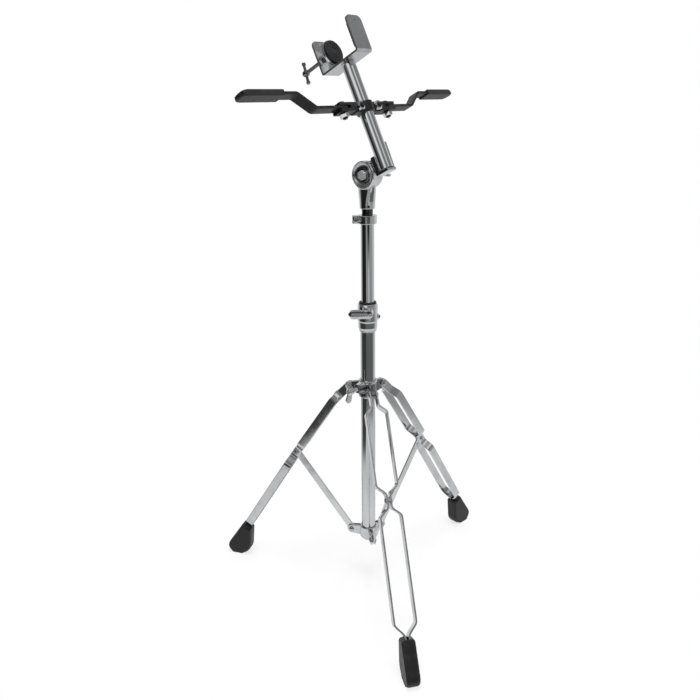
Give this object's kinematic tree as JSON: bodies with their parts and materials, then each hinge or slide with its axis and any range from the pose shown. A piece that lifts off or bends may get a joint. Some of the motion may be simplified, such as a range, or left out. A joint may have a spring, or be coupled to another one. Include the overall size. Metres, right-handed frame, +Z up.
{
  "type": "bongo stand",
  "caption": "Chrome tripod stand with a telescoping column, a tilting arm, two padded support arms and a U-bracket with a screw clamp for a pair of bongos.",
  "frame": {"origin": "centre of the stand's bounding box on the floor", "axes": "+Z up; the arm tilts about Y and leans towards -X"},
  "size_m": [0.513, 0.5403, 0.9833],
  "materials": {
    "chrome": "bright chrome plate",
    "dark_steel": "dark plated steel",
    "zinc": "zinc-plated rivet",
    "black_paint": "semi-gloss black powder coat",
    "black_rubber": "moulded black rubber",
    "black_nylon": "black nylon"
  },
  "bodies": {
    "lower_column": {"lower_tube": "chrome", "tube_plug": "black_nylon", "lower_collar": "chrome", "strut_1_pin": "zinc", "strut_2_pin": "zinc", "strut_3_pin": "zinc", "height_clamp": "chrome", "height_bushing": "black_nylon", "clamp_set_screw": "dark_steel"},
    "sliding_collar": {"leg_collar": "chrome", "leg_1_pin": "zinc", "leg_2_pin": "zinc", "leg_3_pin": "zinc"},
    "wing_bolt": {"collar_wing_bolt": "chrome"},
    "upper_column": {"upper_tube": "chrome", "lock_ring": "chrome"},
    "height_lever": {"clamp_lever": "chrome"},
    "key_bolt": {"lock_bolt": "chrome"},
    "tilter": {"stem_tube": "dark_steel", "tilter_base": "chrome", "tilter_bolt": "chrome", "tilter_washer": "chrome"},
    "wing_nut": {"tilter_wing_nut": "chrome"},
    "arm": {"arm_bracket": "chrome", "arm_tube": "chrome", "u_bracket": "chrome", "weld_nut": "chrome", "jaw_pad": "black_rubber"},
    "disc": {"pressure_cup": "chrome", "pressure_pad": "black_rubber"},
    "screw": {"clamp_screw": "dark_steel"},
    "handle": {"t_handle": "chrome"},
    "arm_clamp": {"arm_clamp_back": "black_paint", "arm_clamp_front": "black_paint", "clamp_bolt_left": "black_paint", "clamp_bolt_right": "black_paint", "clamp_nut_left": "chrome", "clamp_nut_right": "chrome", "arm_bolt_left": "black_paint", "arm_bolt_right": "black_paint", "arm_nut_left": "chrome", "arm_nut_right": "chrome"},
    "support_left": {"support_arm_left": "black_paint", "arm_pad_left": "black_rubber"},
    "support_right": {"support_arm_right": "black_paint", "arm_pad_right": "black_rubber"},
    "leg_1": {"leg_1_strip_a": "chrome", "leg_1_strip_b": "chrome", "leg_1_foot": "black_rubber"},
    "strut_1": {"leg_1_strut": "chrome"},
    "leg_2": {"leg_2_strip_a": "chrome", "leg_2_strip_b": "chrome", "leg_2_foot": "black_rubber"},
    "strut_2": {"leg_2_strut": "chrome"},
    "leg_3": {"leg_3_strip_a": "chrome", "leg_3_strip_b": "chrome", "leg_3_foot": "black_rubber"},
    "strut_3": {"leg_3_strut": "chrome"}
  },
  "joints": [
    {"name": "collar_slide", "type": "slide", "parent": "lower_column", "child": "sliding_collar", "axis": [0, 0, 1], "range_m": [0, 0.06643]},
    {"name": "height_slide", "type": "slide", "parent": "lower_column", "child": "upper_column", "axis": [0, 0, 1], "range_m": [-0.13, 0.18]},
    {"name": "stem_swivel", "type": "hinge", "parent": "upper_column", "child": "tilter", "pos_m": [0.0195, -0.025, 0.695], "axis": [0, 0, 1], "continuous": true},
    {"name": "tilt", "type": "hinge", "parent": "tilter", "child": "arm", "pos_m": [0.0195, -0.025, 0.7525], "axis": [0, 1, 0], "range_deg": [-64, 36]},
    {"name": "wing_nut_turn", "type": "hinge", "parent": "tilter", "child": "wing_nut", "pos_m": [0.0195, -0.025, 0.7525], "axis": [0, 1, 0], "range_deg": [0, 180]},
    {"name": "wing_bolt_turn", "type": "hinge", "parent": "sliding_collar", "child": "wing_bolt", "pos_m": [0.0195, -0.025, 0.3945], "axis": [-0.1331, -0.9911, 0], "range_deg": [0, 180]},
    {"name": "lever_turn", "type": "hinge", "parent": "lower_column", "child": "height_lever", "pos_m": [0.0195, -0.025, 0.5305], "axis": [0.6455, -0.7638, 0], "range_deg": [0, 180]},
    {"name": "key_bolt_turn", "type": "hinge", "parent": "upper_column", "child": "key_bolt", "pos_m": [0.00514, -0.03714, 0.68275], "axis": [0.6455, -0.7638, 0], "range_deg": [0, 180]},
    {"name": "screw_advance", "type": "slide", "parent": "arm", "child": "disc", "axis": [0.8988, 0, 0.4384], "range_m": [-0.001, 0.038]},
    {"name": "screw_turn", "type": "hinge", "parent": "disc", "child": "screw", "pos_m": [-0.06445, -0.025, 0.92462], "axis": [0.8988, 0, 0.4384], "range_deg": [-360, 13680]},
    {"name": "handle_slide", "type": "slide", "parent": "screw", "child": "handle", "axis": [-0.433, 0.1564, 0.8877], "range_m": [-0.008, 0.008]},
    {"name": "arm_clamp_slide", "type": "slide", "parent": "arm", "child": "arm_clamp", "axis": [-0.4384, 0, 0.8988], "range_m": [-0.04, 0.06]},
    {"name": "support_left_swing", "type": "hinge", "parent": "arm_clamp", "child": "support_left", "pos_m": [0.01484, -0.0777, 0.85103], "axis": [-0.4384, 0, 0.8988], "range_deg": [-60, 60]},
    {"name": "support_right_swing", "type": "hinge", "parent": "arm_clamp", "child": "support_right", "pos_m": [0.01484, 0.0277, 0.85103], "axis": [-0.4384, 0, 0.8988], "range_deg": [-60, 60]},
    {"name": "leg_1_fold", "type": "hinge", "parent": "sliding_collar", "child": "leg_1", "pos_m": [0.04642, -0.04577, 0.39], "axis": [0.6108, 0.7918, 0], "range_deg": [0, 31.05]},
    {"name": "strut_1_fold", "type": "hinge", "parent": "lower_column", "child": "strut_1", "pos_m": [0.04484, -0.04455, 0.0985], "axis": [-0.6108, -0.7918, 0], "range_deg": [0, 30.71]},
    {"name": "leg_2_fold", "type": "hinge", "parent": "sliding_collar", "child": "leg_2", "pos_m": [0.02403, 0.0087, 0.39], "axis": [-0.9911, 0.1331, 0], "range_deg": [0, 31.05]},
    {"name": "strut_2_fold", "type": "hinge", "parent": "lower_column", "child": "strut_2", "pos_m": [0.02376, 0.00671, 0.0985], "axis": [0.9911, -0.1331, 0], "range_deg": [0, 30.71]},
    {"name": "leg_3_fold", "type": "hinge", "parent": "sliding_collar", "child": "leg_3", "pos_m": [-0.01195, -0.03793, 0.39], "axis": [0.3803, -0.9249, 0], "range_deg": [0, 31.05]},
    {"name": "strut_3_fold", "type": "hinge", "parent": "lower_column", "child": "strut_3", "pos_m": [-0.0101, -0.03717, 0.0985], "axis": [-0.3803, 0.9249, 0], "range_deg": [0, 30.71]}
  ],
  "couplings": [
    {"joint": "screw_turn", "follows": "screw_advance", "rad_per_m": 6283.2},
    {"joint": "leg_1_fold", "follows": "collar_slide", "rad_per_m": 8.1449},
    {"joint": "strut_1_fold", "follows": "collar_slide", "rad_per_m": 8.0564},
    {"joint": "leg_2_fold", "follows": "collar_slide", "rad_per_m": 8.1449},
    {"joint": "strut_2_fold", "follows": "collar_slide", "rad_per_m": 8.0564},
    {"joint": "leg_3_fold", "follows": "collar_slide", "rad_per_m": 8.1449},
    {"joint": "strut_3_fold", "follows": "collar_slide", "rad_per_m": 8.0564}
  ]
}
